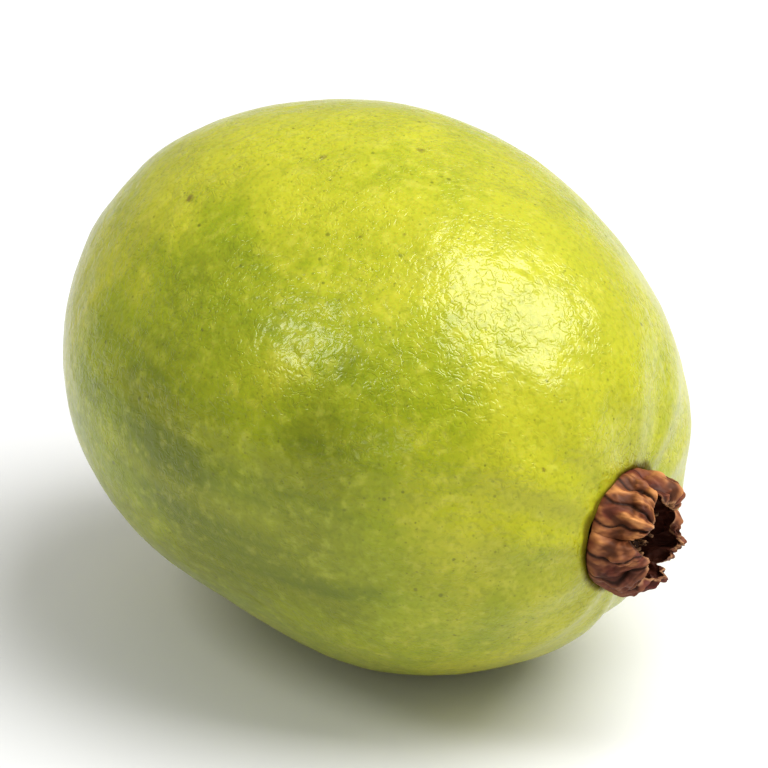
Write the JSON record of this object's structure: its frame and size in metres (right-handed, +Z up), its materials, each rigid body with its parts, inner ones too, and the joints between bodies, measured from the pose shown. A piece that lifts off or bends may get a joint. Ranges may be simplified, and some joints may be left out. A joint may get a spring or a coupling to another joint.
{
  "type": "guava",
  "caption": "Whole white guava lying on its side: egg-shaped glossy fruit with a dried crown of sepals at one end and a cut stalk stub at the other.",
  "frame": {"origin": "on the small flat spot that the fruit rests on, under the middle of the fruit", "axes": "+X along the fruit towards the crown of sepals, +Z up from the surface that it rests on"},
  "size_m": [0.1037, 0.0771, 0.0769],
  "materials": {
    "skin": "glossy yellow-green fruit skin, finely wrinkled, with pale yellow patches and small dark specks",
    "dried_sepal": "dry leathery brown, tan on the ridges and dark in the folds",
    "dried_flower": "matt dark brown, dry and fibrous",
    "stalk_wood": "matt greenish-brown bark with a paler cut end"
  },
  "bodies": {
    "root": {"guava_fruit": "skin", "calyx_crown": "dried_sepal", "dried_stamens": "dried_flower", "stalk_stub": "stalk_wood"}
  },
  "joints": []
}
